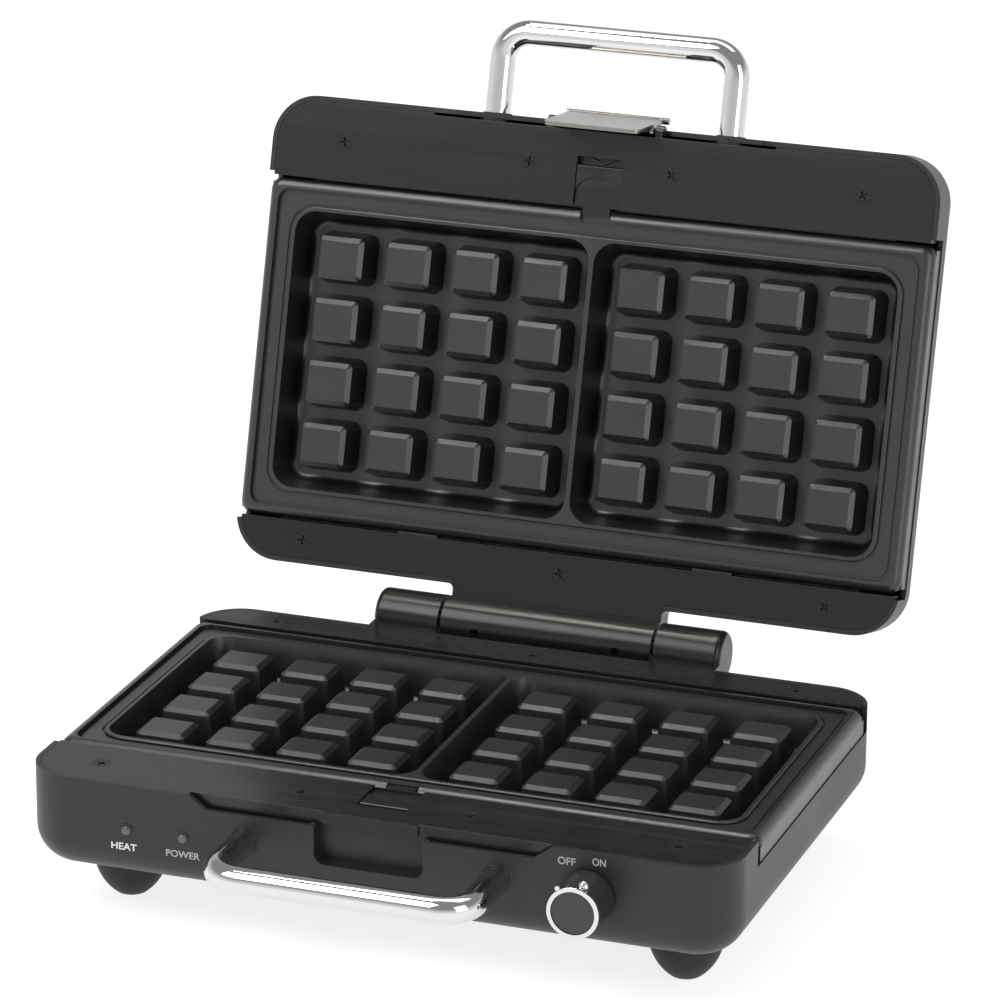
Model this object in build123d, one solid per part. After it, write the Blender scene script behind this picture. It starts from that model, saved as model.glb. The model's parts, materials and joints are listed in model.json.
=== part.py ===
from build123d import *

import os

# A double waffle maker with a hinged lid, standing open.
# Lengths are in millimetres. The body frame is +X right, +Y back, +Z up.
#
# The base and the lid are two like halves, called units. A unit is drawn with its
# cooking face up: X right, Y towards the unit's front edge, Z out of the cooking face,
# with Y = 0 at the middle of the cooking plate and Z = 0 on the top of the rails.

# Body outline, the same for both units
body_width = 270.0
body_front = 99.0
body_rear = 83.5
body_corner = 18.0
shell_wall = 1.9

# Height of each unit, from the rail tops to the outer face, and its rounded outer edge
base_height = 37.6
base_edge_round = 14.0
lid_height = 27.0
lid_edge_round = 13.0

# Hinge line, behind the plate centre and above each unit's rail tops
hinge_back = 97.9
hinge_over_base = 0.1
hinge_over_lid = 0.9
lid_rest_angle = 73.76

# Gaps between pieces
rail_fit = 0.15
seat_gap = 0.2
slide_gap = 0.2
stop_gap = 0.25
screw_fit = 0.05
pin_fit = 0.02
running_fit = 0.05
overrun = 1.0

# Rails in front of and behind the cooking plate
plate_half_depth = 66.3
plate_to_rail = 0.6
rail_thickness = 8.0
ledge_reach = 5.4
ledge_length = 236.0

# Notch in the front rim, with slanted ends, and the keeper block in its middle
notch_top_half = 69.0
notch_foot_half = 62.0
notch_depth = 5.0
notch_set_back = 3.0
keeper_half = 18.0
keeper_depth = 4.5

# Finger pocket below the keeper
pocket_half = 20.7
pocket_top = 5.0
pocket_bottom = 19.5
pocket_depth = 6.0
pocket_corner = 4.0

# Side windows, where the plate's skirt stands flush with the shell
window_half = 68.3
window_depth = 10.0
skirt_half = 64.3
skirt_inset = 0.4
skirt_thickness = 2.0

# Cooking plate
plate_edge_thickness = 5.0
plate_corner = 5.0
rim_round = 3.8
rim_width = 4.2
border_drop = 1.3
groove_drop = 0.6
rim_groove_width = 1.5
lip_groove_width = 1.0
lip_drop = 0.5
lip_width = 1.75
lip_round = 0.6
well_depth = 14.9
well_draft = 12.5
well_corner = 8.5
well_foot_round = 2.6
well_margin = 4.0
divider_top = 2.0
tub_wall = 3.0
tub_floor = 2.6

# Raised cells that press the pockets of the waffle
cell_count_x = 4
cell_count_y = 4
cell_pitch_x = 27.9
cell_pitch_y = 24.5
cell_foot_x = 23.1
cell_foot_y = 20.5
cell_corner = 4.0
cell_draft = 9.0
cell_bevel_depth = 1.3
cell_bevel_slope = 55.0
cell_drop = 1.7
cell_root = 0.6

# Plate tongues under the rear rail, and the notch for the release tab's nose
tongue_x = 60.0
tongue_width = 16.0
tongue_length = 3.0
tongue_thickness = 1.8
tongue_drop = 2.4
nose_notch_half = 6.2
nose_notch_depth = 2.4

# Release tab
tab_opening_half = 9.6
tab_opening_depth = 4.0
tab_length = 15.8
tab_drop = 0.6
tab_travel = 3.0
tab_rib = 1.0
tab_rib_height = 1.0
tab_nose_half = 5.4
tab_nose_reach = 2.9
tab_nose_thickness = 1.6
tab_thumb_radius = 11.0
tab_thumb_depth = 0.8
tab_spring_thickness = 0.4
tab_spring_half = 6.0
tab_spring_height = 1.5

# Rail screws and the posts that take them
screw_radius = 1.45
screw_length = 16.0
screw_head_radius = 3.3
screw_head_height = 1.9
screw_head_drop = 0.1
screw_turn = 20.0
screw_turn_step = 7.0
cross_length = 3.6
cross_width = 0.8
cross_depth = 1.1
screw_hole_radius = 1.65
post_radius = 4.0
front_screw_line = 82.2
rear_screw_line = -74.2
base_front_screws = (-110.0, -32.2, 32.2, 110.0)
base_rear_screws = (-105.2, 0.0, 105.2)
lid_front_screws = (-104.9, -28.7, 28.7, 104.9)
lid_rear_screws = (-106.4, 0.0, 106.4)

# Hinge barrel and knuckles
barrel_radius = 10.0
barrel_half = 42.6
knuckle_start = 44.0
knuckle_end = 70.3
knuckle_round = 2.5
web_flare = 2.2
hinge_pin_radius = 3.0
hinge_pin_start = 18.0
hinge_pin_end = 66.0
set_screw_x = 28.5
set_screw_radius = 1.8
set_screw_length = 4.0
set_screw_sink = 2.4
hex_socket_radius = 0.9
hex_socket_depth = 1.6
stop_lug_half = 12.0
stop_lug_top = -4.0
stop_lug_bottom = -8.5
stop_lug_root = -6.0

# Handles
handle_radius = 5.0
handle_reach = 32.2
handle_bend = 10.75
lower_handle_spread = 96.0
lower_handle_drop = 15.2
upper_handle_spread = 94.8
upper_handle_drop = 11.5
bush_wall = 0.7
bush_proud = 0.4
handle_pad_radius = 7.0
handle_pad_thickness = 1.6
handle_bolt_radius = 2.0
handle_bolt_length = 12.0
handle_bolt_head_radius = 3.6
handle_bolt_head_height = 2.6
handle_washer_radius = 6.0
handle_washer_thickness = 1.0

# Latch on the lid's front edge
latch_half = 19.3
latch_thickness = 1.5
latch_tip_front = 98.2
latch_tip_height = 17.5
latch_top_front = 103.2
latch_top_height = -16.0
latch_roll_radius = 1.3
latch_roll_half = 20.8
latch_corner = 3.0
latch_pivot_front = 98.2
latch_pivot_height = -3.3
latch_pin_radius = 1.2
latch_ear_radius = 2.0
latch_ear_thickness = 1.3
latch_lug_radius = 2.6
latch_lug_start = 20.4
latch_lug_end = 23.4
latch_notch_half = 25.5
latch_notch_depth = 7.5
hook_start = 4.3
hook_width = 10.0
hook_tip_front = 97.4
hook_height = 6.2
hook_thickness = 1.4
latch_spring_width = 8.0
latch_spring_thickness = 0.4
latch_spring_foot = -9.2
latch_spring_head = -14.0

# Knob, its shaft and the rotary switch
knob_x = 82.4
knob_drop = 16.25
knob_radius = 9.4
knob_skirt_radius = 10.3
knob_skirt_round = 0.6
knob_gap = 0.6
knob_length = 15.9
knob_ring_length = 2.2
knob_ring_width = 1.3
knob_ring_proud = 0.25
knob_nub_radius = 0.9
knob_nub_rise = 0.6
knob_nub_angle = 124.0
knob_bead_radius = 2.0
knob_bead_set_back = 2.15
knob_bead_angle = 73.5
knob_face_thickness = 1.2
knob_face_sink = 0.5
knob_face_fit = 0.1
knob_socket_radius = 7.8
knob_socket_depth = 3.2
knob_shaft_radius = 3.0
knob_shaft_flat = 0.8
knob_shaft_grip = 9.0
switch_width = 22.0
switch_height = 14.4
switch_depth = 20.0
switch_neck_radius = 4.5
switch_neck_length = 4.0
switch_nut_radius = 6.6
switch_nut_thickness = 1.3
switch_shaft_depth = 6.0
switch_terminal_half = 7.0
switch_terminal_length = 6.0
terminal_width = 4.8
terminal_thickness = 0.8

# Indicator lamps
lamp_places = {"heat": -93.2, "power": -71.2}
lamp_drop = 17.25
lens_radius = 1.75
lens_length = 3.2
lens_flange_radius = 2.4
lens_flange_thickness = 0.8
bezel_radius = 2.5
bezel_thickness = 0.3
neon_radius = 1.6
neon_length = 5.0
lamp_board_width = 37.0
lamp_board_height = 10.0
lamp_board_thickness = 1.6
lamp_peg_radius = 2.0
lamp_peg_spread = 32.0

# Feet
foot_x = 107.4
foot_from_front = 36.3
foot_from_rear = 13.8
foot_seat_height = 7.0
foot_height = 19.7
foot_top_radius = 13.5
foot_bottom_radius = 5.6
foot_bottom_round = 1.0
foot_flank_radius = 20.0
foot_recess_radius = 3.6
foot_recess_depth = 11.0
foot_screw_radius = 1.75
foot_screw_head_radius = 3.2
foot_screw_head_height = 2.4
foot_screw_length = 14.0
foot_post_radius = 4.5
foot_post_height = 7.0

# Heater, reflector tray and what stands on it
heater_radius = 3.25
heater_bury = 1.5
heater_reach_x = 95.0
heater_reach_y = 38.0
heater_bend = 16.0
heater_tail_x = 12.0
heater_tail_y = -62.0
heater_pin_radius = 1.5
heater_pin_length = 5.5
heater_groove_gap = 0.25
tray_half_x = 118.0
tray_half_y = 52.0
tray_corner = 10.0
tray_thickness = 0.6
tray_rim = 3.0
tray_below_heater = 0.5
tray_post_x = 106.0
tray_post_y = 20.0
tray_post_radius = 4.0
tray_screw_head_radius = 2.8
tray_screw_head_height = 1.4
tray_screw_length = 3.2
cradle_length = 8.0
cradle_width = 10.0
cradle_height = 2.8
cradle_places = ((-60.0, 1), (60.0, 1), (-60.0, -1), (60.0, -1))
thermostat_radius = 7.0
thermostat_body = 9.0
thermostat_flange_radius = 11.0
thermostat_flange_thickness = 0.8
thermostat_place = (0.0, 8.0)
fuse_radius = 1.8
fuse_length = 12.0
fuse_lead_radius = 0.5
fuse_lead_length = 8.0
fuse_place = (34.0, 0.0)
fuse_clip_wall = 0.5
fuse_clip_width = 6.0

# Terminal block and the cord's gland in the rear wall
block_length = 34.0
block_width = 13.0
block_height = 11.0
block_place = (45.0, -62.5)
block_screw_radius = 1.9
block_screw_depth = 4.0
block_screw_pitch = 10.0
gland_x = 92.0
gland_drop = 16.5
gland_radius = 5.0
gland_bore = 3.5
gland_flange_radius = 7.5
gland_flange_thickness = 2.4
gland_inside = 5.0
gland_nut_radius = 7.2
gland_nut_thickness = 2.6

# Sizes worked out from those above
rail_edge = plate_half_depth + plate_to_rail
tab_opening_front = rail_edge + slide_gap + tab_length + tab_travel + slide_gap
rail_front = body_front - shell_wall - rail_fit
shell_inner_front = body_front - shell_wall
handle_root = shell_inner_front - handle_pad_thickness
plate_half_width = body_width / 2 - skirt_inset
rim_inner_x = plate_half_width - rim_width
rim_inner_y = plate_half_depth - rim_width
well_floor_x = (cell_count_x - 1) * cell_pitch_x + cell_foot_x + 2 * well_margin
well_floor_y = (cell_count_y - 1) * cell_pitch_y + cell_foot_y + 2 * well_margin
tub_bottom = -well_depth - tub_floor
heater_z = tub_bottom + heater_bury - heater_radius
tray_top = heater_z - heater_radius - tray_below_heater
ground_to_rails = base_height + foot_height


def tangent(degrees):
    """The tangent of an angle in degrees."""
    ray = Vector(1, 0, 0).rotate(Axis.Z, degrees)
    return ray.Y / ray.X


def block(x, y, z):
    """A box from its low and high X, Y and Z."""
    centre = [(low + high) / 2 for low, high in (x, y, z)]
    size = [high - low for low, high in (x, y, z)]
    return Pos(*centre) * Box(*size)


def rod(radius, start, end):
    """A round bar from one point to another."""
    run = Vector(*end) - Vector(*start)
    return extrude(Plane(origin=start, z_dir=run) * Circle(radius), run.length)


def cone(start_radius, end_radius, start, end):
    """A round bar whose radius changes along its length."""
    run = Vector(*end) - Vector(*start)
    plane = Plane(origin=start, z_dir=run)
    middle = Pos(0, 0, run.length / 2)
    return plane * middle * Cone(start_radius, end_radius, run.length)


def across(sketch, low, high):
    """A profile drawn in a unit's Y and Z, carried along X from low to high."""
    return extrude(Plane.YZ.offset(low) * sketch, high - low, dir=(1, 0, 0))


def both_sides(shape):
    """A shape and its copy on the other side of the middle plane."""
    return shape + mirror(shape, about=Plane.YZ)


def in_base(shape):
    """Puts a unit's shape in the base: face up, front edge towards -Y."""
    return Pos(0, 0, ground_to_rails) * Rot(0, 0, 180) * shape


def in_lid(shape):
    """Puts a unit's shape in the open lid."""
    to_hinge = Pos(0, hinge_back, -hinge_over_lid)
    at_hinge = Pos(0, hinge_back, ground_to_rails + hinge_over_base)
    return at_hinge * Rot(lid_rest_angle, 0, 0) * to_hinge * shape


def body_outline(inset):
    """The body in plan, drawn inwards by inset."""
    depth = body_front + body_rear - 2 * inset
    middle = (body_front - body_rear) / 2
    width = body_width - 2 * inset
    return Pos(0, middle) * RectangleRounded(width, depth, body_corner - inset)


def bowl(height, edge_round, inset):
    """The body's solid outer form, or with an inset its inside, open at Z = 0."""
    form = extrude(body_outline(inset), -(height - inset))
    return fillet(form.edges().group_by(Axis.Z)[0], edge_round - inset)


def front_notch():
    """The cut in the front rim, with its slanted ends."""
    slope = (notch_top_half - notch_foot_half) / notch_depth
    wide = notch_top_half + slope * overrun
    points = (
        (-wide, overrun),
        (-notch_foot_half, -notch_depth),
        (notch_foot_half, -notch_depth),
        (wide, overrun),
    )
    profile = Plane.XZ.offset(-body_front - overrun) * Polygon(*points, align=None)
    return extrude(profile, shell_wall + 2 * overrun)


def screw_posts(xs, y, height):
    """Posts from the shell's floor to the underside of a rail, with pilot holes."""
    posts = [rod(post_radius, (x, y, -height), (x, y, -rail_thickness)) for x in xs]
    return Part() + posts


def pilot_holes(xs, y, depth):
    """Holes in the posts for the rail screws."""
    radius = screw_radius + screw_fit
    return Part() + [rod(radius, (x, y, -depth), (x, y, overrun)) for x in xs]


def tray_posts(height):
    """Low posts on the shell's floor that carry the reflector tray."""
    posts = Part()
    for x in (-tray_post_x, tray_post_x):
        for y in (-tray_post_y, tray_post_y):
            posts += rod(tray_post_radius, (x, y, -height), (x, y, tray_top - tray_thickness))
    return posts


def tray_pilot_holes():
    """Holes in the tray's posts for its screws."""
    radius = screw_radius + screw_fit
    holes = Part()
    for x in (-tray_post_x, tray_post_x):
        for y in (-tray_post_y, tray_post_y):
            holes += rod(radius, (x, y, tray_top - tray_screw_length), (x, y, tray_top))
    return holes


def unit_shell(height, edge_round, front_screws, rear_screws):
    """A unit's outer shell with its rim cuts, side windows and inner posts."""
    outer = bowl(height, edge_round, 0)
    posts = screw_posts(front_screws, front_screw_line, height)
    posts += screw_posts(rear_screws, rear_screw_line, height)
    posts += tray_posts(height)
    shell = outer - bowl(height, edge_round, shell_wall)
    shell += posts & bowl(height, edge_round, shell_wall / 2)
    hole_depth = screw_length + overrun
    shell -= pilot_holes(front_screws, front_screw_line, hole_depth)
    shell -= pilot_holes(rear_screws, rear_screw_line, hole_depth)
    shell -= tray_pilot_holes()
    shell -= front_notch()
    wall = (body_width / 2 - shell_wall - overrun, body_width / 2 + overrun)
    window = block(wall, (-window_half, window_half), (-window_depth, overrun))
    return shell - both_sides(window)


def handle_pads(spread, drop):
    """Flat pads inside the front wall that a handle's washers bear on."""
    start = (spread / 2, handle_root, -drop)
    pad = rod(handle_pad_radius, start, (spread / 2, body_front - shell_wall / 2, -drop))
    return both_sides(pad)


def handle_holes(spread, drop):
    """Holes in the front wall for the handle's bushes."""
    radius = handle_radius + pin_fit + bush_wall + screw_fit
    inside = handle_root - overrun
    outside = body_front + overrun
    hole = rod(radius, (spread / 2, inside, -drop), (spread / 2, outside, -drop))
    return both_sides(hole)


def finger_pocket():
    """The pocket's wall, open to the front and, under the keeper, at its top."""
    top = -pocket_top + seat_gap
    back = body_front - pocket_depth
    outer = pocket_form(shell_wall, top, back - shell_wall, shell_inner_front)
    inner = pocket_form(0, top + overrun, back, body_front)
    return outer - inner


def pocket_form(grow, top, back, front):
    """The pocket's form with its rounded lower corners."""
    half = pocket_half + grow
    low = -pocket_bottom - grow
    middle = (top + low) / 2
    face = Plane.XZ.offset(-front) * Pos(0, middle) * Rectangle(2 * half, top - low)
    form = extrude(face, front - back)
    corners = form.edges().filter_by(Axis.Y).group_by(Axis.Z)[0]
    return fillet(corners, pocket_corner + grow)


def base_shell():
    """The lower shell, with its front openings, rear openings and foot posts."""
    shell = unit_shell(base_height, base_edge_round, base_front_screws, base_rear_screws)
    opening = pocket_form(0, overrun, shell_inner_front - overrun, body_front + overrun)
    shell = shell - opening + finger_pocket()
    shell += handle_pads(lower_handle_spread, lower_handle_drop)
    shell -= handle_holes(lower_handle_spread, lower_handle_drop)
    inside = shell_inner_front - overrun
    outside = body_front + overrun
    neck = switch_neck_radius + screw_fit
    shell -= rod(neck, (-knob_x, inside, -knob_drop), (-knob_x, outside, -knob_drop))
    for lamp_x in lamp_places.values():
        start = (-lamp_x, inside, -lamp_drop)
        shell -= rod(lens_radius + screw_fit, start, (-lamp_x, outside, -lamp_drop))
    shell += lamp_pegs()
    web_x = (knuckle_start - seat_gap, knuckle_end + seat_gap)
    wall_y = (-body_rear - overrun, -body_rear + shell_wall + overrun)
    web_z = (hinge_over_base - barrel_radius - seat_gap, overrun)
    shell -= both_sides(block(web_x, wall_y, web_z))
    gland = gland_radius + screw_fit
    start = (-gland_x, -body_rear - overrun, -gland_drop)
    shell -= rod(gland, start, (-gland_x, -body_rear + shell_wall + overrun, -gland_drop))
    shell += rear_foot_seats()
    floor = -base_height + shell_wall / 2
    top = -base_height + shell_wall + foot_post_height
    for x, y in foot_places():
        shell += rod(foot_post_radius, (x, y, floor), (x, y, top))
        pilot = foot_screw_radius + screw_fit
        shell -= rod(pilot, (x, y, -base_height - overrun), (x, y, top - shell_wall))
    return shell


def lamp_pegs():
    """Two pegs behind the front wall that carry the lamp board."""
    middle = -sum(lamp_places.values()) / len(lamp_places)
    pegs = Part()
    for side in (-1, 1):
        x = middle + side * lamp_peg_spread / 2
        start = (x, lamp_board_front(), -lamp_drop)
        pegs += rod(lamp_peg_radius, start, (x, shell_inner_front + shell_wall / 2, -lamp_drop))
    return pegs


def lamp_board_front():
    """The face of the lamp board that the lamps stand on."""
    return shell_inner_front - lens_flange_thickness - neon_length - seat_gap


def foot_places():
    """The four feet in plan, the rear ones far enough back to stand under the open lid."""
    front = body_front - foot_from_front
    rear = -body_rear + foot_from_rear
    return [(x, y) for x in (-foot_x, foot_x) for y in (front, rear)]


def rear_foot_seats():
    """Round seats that level the shell's rounded rear edge over the rear feet."""
    y = -body_rear + foot_from_rear
    top = -base_height + foot_seat_height
    return both_sides(rod(foot_top_radius, (foot_x, y, -base_height), (foot_x, y, top)))


def lid_shell():
    """The upper shell, with room for the latch and the hinge barrel's web."""
    shell = unit_shell(lid_height, lid_edge_round, lid_front_screws, lid_rear_screws)
    shell += handle_pads(upper_handle_spread, upper_handle_drop)
    shell -= handle_holes(upper_handle_spread, upper_handle_drop)
    latch_x = (-latch_notch_half, latch_notch_half)
    front_y = (shell_inner_front - overrun, body_front + overrun)
    shell -= block(latch_x, front_y, (-latch_notch_depth, overrun))
    web = barrel_half + seat_gap
    wall_y = (-body_rear - overrun, -body_rear + shell_wall + overrun)
    web_z = (hinge_over_lid - barrel_radius - seat_gap, overrun)
    return shell - block((-web, web), wall_y, web_z)


def countersunk_hole(x, y):
    """A countersunk screw hole through a rail."""
    head = screw_head_radius + screw_fit
    hole = rod(screw_hole_radius, (x, y, -rail_thickness - overrun), (x, y, overrun))
    hole += cone(screw_hole_radius, head, (x, y, -screw_head_height - screw_head_drop),
                 (x, y, -screw_head_drop))
    return hole + rod(head, (x, y, -screw_head_drop), (x, y, overrun))


def rail_screw(x, y):
    """A countersunk screw with a cross recess."""
    top = -screw_head_drop
    foot = top - screw_head_height
    screw = cone(screw_radius, screw_head_radius, (x, y, foot), (x, y, top))
    screw += rod(screw_radius, (x, y, -screw_length), (x, y, foot))
    long = (-cross_length / 2, cross_length / 2)
    short = (-cross_width / 2, cross_width / 2)
    deep = (top - cross_depth, top + overrun)
    cross = block(long, short, deep) + block(short, long, deep)
    turn = screw_turn + screw_turn_step * x
    return screw - Pos(x, y) * Rot(0, 0, turn) * cross


def rail_screws(front_screws, rear_screws):
    """All the screws that hold one unit's rails."""
    screws = [rail_screw(x, front_screw_line) for x in front_screws]
    screws += [rail_screw(x, rear_screw_line) for x in rear_screws]
    return screws


def rail_strip(front):
    """A rail cut from the inside of the body's outline, with its plate ledge."""
    solid = extrude(body_outline(shell_wall + rail_fit), -rail_thickness)
    side = 1 if front else -1
    far = side * (body_front + body_rear)
    wide = (-body_width, body_width)
    strip = solid & block(wide, sorted((side * rail_edge, far)), (-rail_thickness, 0))
    ledge_y = sorted((side * (rail_edge - ledge_reach), side * rail_edge))
    ledge_x = (-ledge_length / 2, ledge_length / 2)
    return strip + block(ledge_x, ledge_y, (-rail_thickness, -plate_edge_thickness))


def front_rail(screws, keeper):
    """A unit's front rail, with the release tab's opening and the stepped front edge."""
    rail = rail_strip(True)
    for x in screws:
        rail -= countersunk_hole(x, front_screw_line)
    step_y = (body_front - notch_set_back, body_front)
    step_z = (-rail_thickness - overrun, overrun)
    if keeper:
        rail -= both_sides(block((keeper_half, notch_top_half), step_y, step_z))
        under_y = (body_front - pocket_depth - shell_wall - seat_gap, body_front)
        under_half = pocket_half + shell_wall + seat_gap
        under_z = (-rail_thickness - overrun, -keeper_depth)
        rail -= block((-under_half, under_half), under_y, under_z)
    else:
        rail -= block((-notch_top_half, notch_top_half), step_y, step_z)
    opening_x = (-tab_opening_half, tab_opening_half)
    opening_y = (rail_edge - overrun, tab_opening_front)
    rail -= block(opening_x, opening_y, (-tab_opening_depth, overrun))
    rib_x = tab_opening_half + tab_rib
    rib_low = -tab_opening_depth + slide_gap
    rib_z = (rib_low - slide_gap, rib_low + tab_rib_height + slide_gap)
    return rail - block((-rib_x, rib_x), opening_y, rib_z)


def bolt_relief(spread, drop):
    """Room in a front rail for a handle's washer and bolt head."""
    x = spread / 2
    start = handle_root - handle_washer_thickness - handle_bolt_head_height - overrun
    radius = handle_pad_radius + seat_gap
    return both_sides(rod(radius, (x, start, -drop), (x, body_front, -drop)))


def latch_lugs():
    """The two lugs that carry the latch's pin."""
    across_lug = Pos(latch_pivot_front, latch_pivot_height) * Circle(latch_lug_radius)
    root = body_front - notch_set_back - overrun
    middle = (root + latch_pivot_front) / 2
    reach = latch_pivot_front - root
    across_lug += Pos(middle, latch_pivot_height) * Rectangle(reach, 2 * latch_lug_radius)
    lugs = both_sides(across(across_lug, latch_lug_start, latch_lug_end))
    return lugs - latch_pin(latch_pin_radius + pin_fit)


def latch_pin(radius):
    """The latch's pivot pin, or with a larger radius the bore for it."""
    start = (-latch_lug_end, latch_pivot_front, latch_pivot_height)
    return rod(radius, start, (latch_lug_end, latch_pivot_front, latch_pivot_height))


def hinge_profile(height):
    """The section of a knuckle or barrel, with the web that joins it to its rail."""
    circle = Pos(-hinge_back, height) * Circle(barrel_radius)
    rail_side = -body_rear + shell_wall + rail_fit
    foot = height - barrel_radius
    middle = ((rail_side - hinge_back) / 2, foot / 2)
    web = Pos(*middle) * Rectangle(rail_side + hinge_back, -foot)
    return circle + web


def web_flares(x, height):
    """Small curved fillets beside a web, where it leaves the shell's rear wall."""
    foot = height - barrel_radius
    flares = Part()
    for side in (-1, 1):
        outer = x + side * web_flare
        corner = block(sorted((x, outer)), (-body_rear - web_flare, -body_rear), (foot, 0))
        centre = (outer, -body_rear - web_flare)
        flares += corner - rod(web_flare, (*centre, foot - overrun), (*centre, overrun))
    return flares


def base_rear_rail():
    """The lower rear rail with its two hinge knuckles."""
    rail = rail_strip(False) - tongue_slots()
    for x in base_rear_screws:
        rail -= countersunk_hole(x, rear_screw_line)
    knuckle = across(hinge_profile(hinge_over_base), knuckle_start, knuckle_end)
    end_edges = knuckle.edges().filter_by(GeomType.CIRCLE).group_by(Axis.X)[-1]
    knuckle = fillet(end_edges, knuckle_round)
    start = (knuckle_start - overrun, -hinge_back, hinge_over_base)
    end = (hinge_pin_end + seat_gap, -hinge_back, hinge_over_base)
    knuckle -= rod(hinge_pin_radius + running_fit, start, end)
    inner_flare = web_flares(knuckle_start, hinge_over_base) & block(
        (0, knuckle_start), (-hinge_back, 0), (-base_height, 0))
    return rail + both_sides(knuckle) + both_sides(inner_flare)


def lid_rear_rail():
    """The upper rear rail with the hinge barrel and its stop lug."""
    rail = rail_strip(False) - tongue_slots()
    for x in lid_rear_screws:
        rail -= countersunk_hole(x, rear_screw_line)
    rail += across(hinge_profile(hinge_over_lid), -barrel_half, barrel_half)
    outer_flare = web_flares(barrel_half, hinge_over_lid) & block(
        (barrel_half, body_width), (-hinge_back, 0), (-lid_height, 0))
    rail += both_sides(outer_flare)
    reach = hinge_back - body_rear - stop_gap
    lug_z = (stop_lug_bottom, stop_lug_top)
    lug = block((-stop_lug_half, stop_lug_half), (-reach, stop_lug_root), lug_z)
    rail += at_hinge() * lug
    start = (hinge_pin_start - seat_gap, -hinge_back, hinge_over_lid)
    end = (barrel_half + overrun, -hinge_back, hinge_over_lid)
    rail -= both_sides(rod(hinge_pin_radius + pin_fit, start, end))
    hole = rod(set_screw_radius + screw_fit, (set_screw_x, -barrel_radius - overrun, 0),
               (set_screw_x, 0, 0))
    return rail - at_hinge() * both_sides(hole)


def at_hinge():
    """The lid unit's place on the hinge line, turned so that -Y is level at rest."""
    return Pos(0, -hinge_back, hinge_over_lid) * Rot(-lid_rest_angle, 0, 0)


def hinge_pin():
    """One hinge pin, held in the barrel and turning in a knuckle."""
    start = (hinge_pin_start, -hinge_back, hinge_over_lid)
    return rod(hinge_pin_radius, start, (hinge_pin_end, -hinge_back, hinge_over_lid))


def barrel_screw():
    """A set screw that locks a hinge pin in the barrel."""
    tip = -hinge_pin_radius - pin_fit
    head = -barrel_radius + set_screw_sink
    screw = rod(set_screw_radius, (set_screw_x, tip, 0), (set_screw_x, head, 0))
    socket = Plane(origin=(set_screw_x, head, 0), z_dir=(0, 1, 0))
    return screw - extrude(socket * RegularPolygon(hex_socket_radius, 6), hex_socket_depth)


def tongue_slots():
    """Slots in a rear rail for the plate's tongues."""
    x = (tongue_x - tongue_width / 2 - seat_gap, tongue_x + tongue_width / 2 + seat_gap)
    y = (-rail_edge - tongue_length - seat_gap, -rail_edge + overrun)
    z = (-tongue_drop - tongue_thickness - seat_gap, -tongue_drop + seat_gap)
    return both_sides(block(x, y, z))


def well_form():
    """The space of one waffle, between the plate's lip and floor."""
    deep = well_depth - lip_drop
    spread = 2 * deep * tangent(well_draft)
    top = RectangleRounded(well_floor_x + spread, well_floor_y + spread, well_corner)
    form = extrude(Pos(0, 0, -lip_drop) * top, -deep, taper=well_draft)
    return fillet(form.edges().group_by(Axis.Z)[0], well_foot_round)


def well_top_size():
    """The width and depth of one waffle's space at the lip."""
    spread = 2 * (well_depth - lip_drop) * tangent(well_draft)
    return well_floor_x + spread, well_floor_y + spread


def waffle_cell():
    """One raised cell with slanting sides and a bevelled top."""
    foot = Pos(0, 0, -well_depth) * RectangleRounded(cell_foot_x, cell_foot_y, cell_corner)
    wall = extrude(foot, well_depth - cell_drop - cell_bevel_depth, taper=cell_draft)
    bevel = extrude(wall.faces().sort_by(Axis.Z)[-1], cell_bevel_depth, taper=cell_bevel_slope)
    return wall + bevel + extrude(foot, -cell_root)


def ring(outer, inner, top, bottom):
    """The solid between two plan outlines, from one height to another."""
    return extrude(Pos(0, 0, top) * (outer - inner), bottom - top)


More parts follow.
